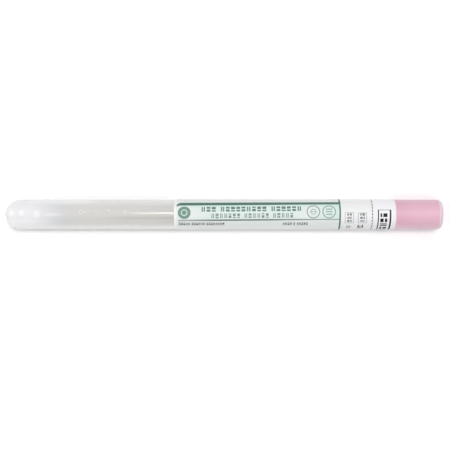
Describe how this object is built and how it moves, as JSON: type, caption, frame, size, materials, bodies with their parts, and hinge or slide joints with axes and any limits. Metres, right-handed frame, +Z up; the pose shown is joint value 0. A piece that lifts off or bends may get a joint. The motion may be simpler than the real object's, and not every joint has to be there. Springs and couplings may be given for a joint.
{
  "type": "specimen swab tube",
  "caption": "Round-bottomed translucent plastic test tube with a flush pink cap that carries a cotton-tipped wooden stick, sealed by a paper label torn along a perforated line.",
  "frame": {"origin": "under the middle of the whole length, on the surface that the tube lies on", "axes": "+X along the tube's axis, from the round end towards the cap; +Z up, away from the surface it lies on"},
  "size_m": [0.1792, 0.0124, 0.0124],
  "materials": {
    "tube_plastic": "natural translucent polypropylene, milky, smooth moulded",
    "label_paper": "white coated paper, satin, printed in dark green",
    "cap_plastic": "pale pink polyethylene, satin moulded",
    "stick_wood": "plain birch, sanded",
    "bud_cotton": "white wound cotton fibre"
  },
  "bodies": {
    "tube": {"tube": "tube_plastic", "label": "label_paper"},
    "swab": {"cap": "cap_plastic", "seal_band": "label_paper", "stick": "stick_wood", "bud": "bud_cotton"}
  },
  "joints": [
    {"name": "cap_pull", "type": "slide", "parent": "tube", "child": "swab", "axis": [1, 0, 0], "range_m": [0, 0.145]}
  ]
}
